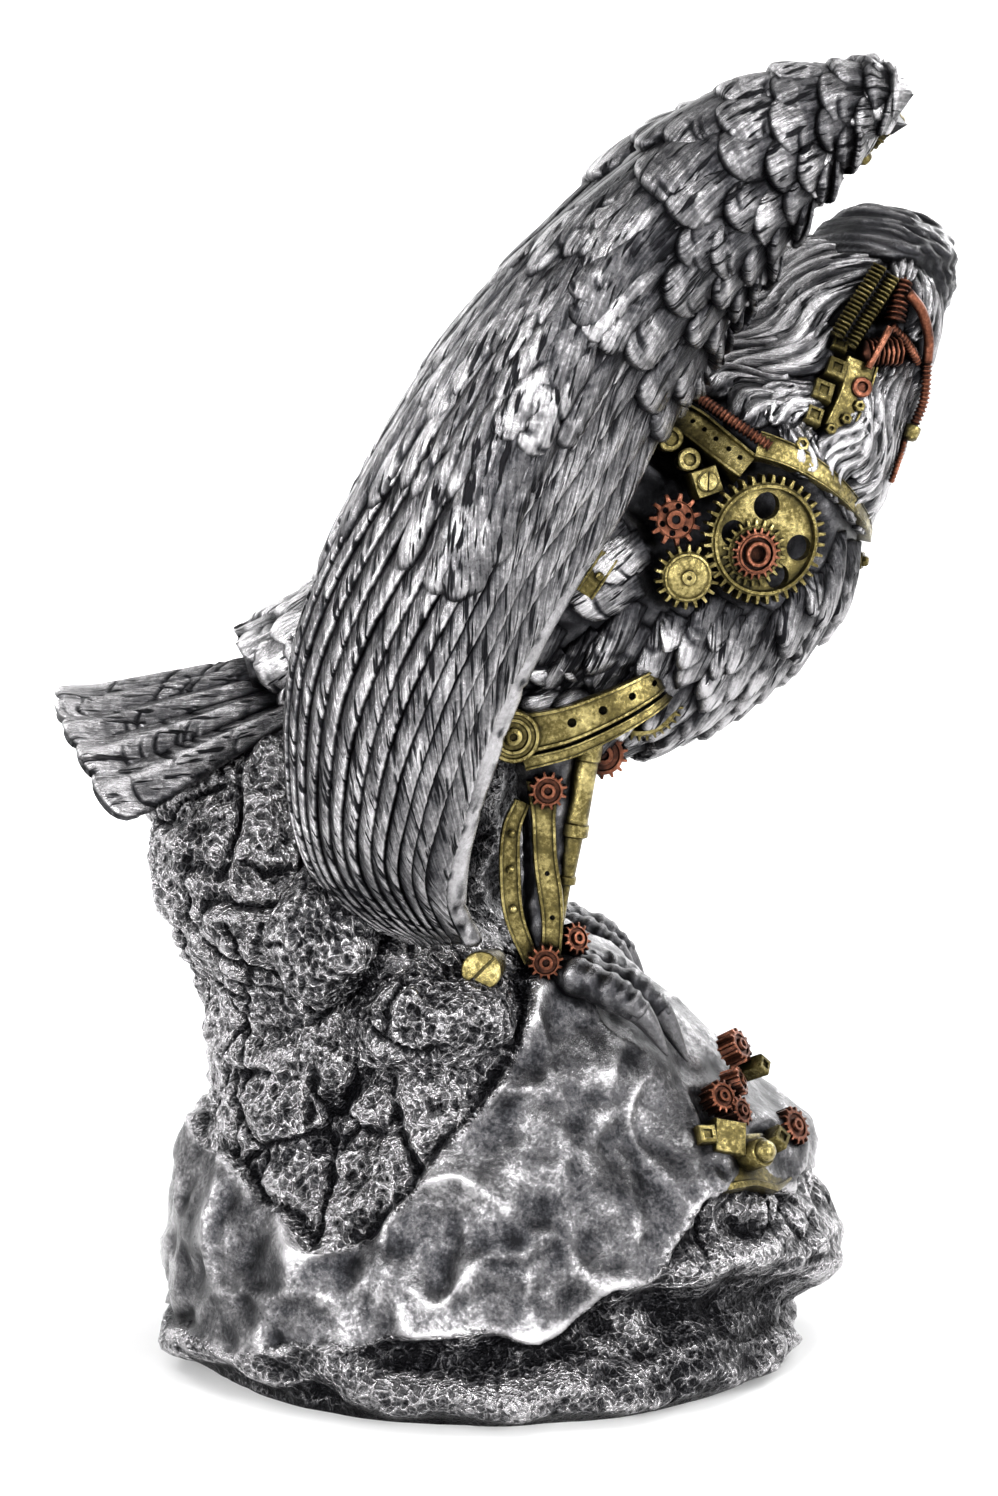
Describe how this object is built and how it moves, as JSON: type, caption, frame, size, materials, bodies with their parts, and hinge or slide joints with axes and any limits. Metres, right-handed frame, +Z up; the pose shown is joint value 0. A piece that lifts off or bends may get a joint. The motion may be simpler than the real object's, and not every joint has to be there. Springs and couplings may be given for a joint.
{
  "type": "eagle figurine",
  "caption": "Cast figurine of a clockwork eagle with raised wings, perched on a rough crag, in antique silver with brass and copper gears.",
  "frame": {"origin": "centre of the crag's flat underside", "axes": "+Z up, +X the way the eagle's body faces, +Y towards its left wing"},
  "size_m": [0.2099, 0.1576, 0.2917],
  "materials": {
    "antique_silver": "antique silver metallic paint with a black wash in the carving, over cast resin; gears and straps in it are painted aged brass and copper"
  },
  "bodies": {
    "root": {"eagle_figurine": "antique_silver"}
  },
  "joints": []
}
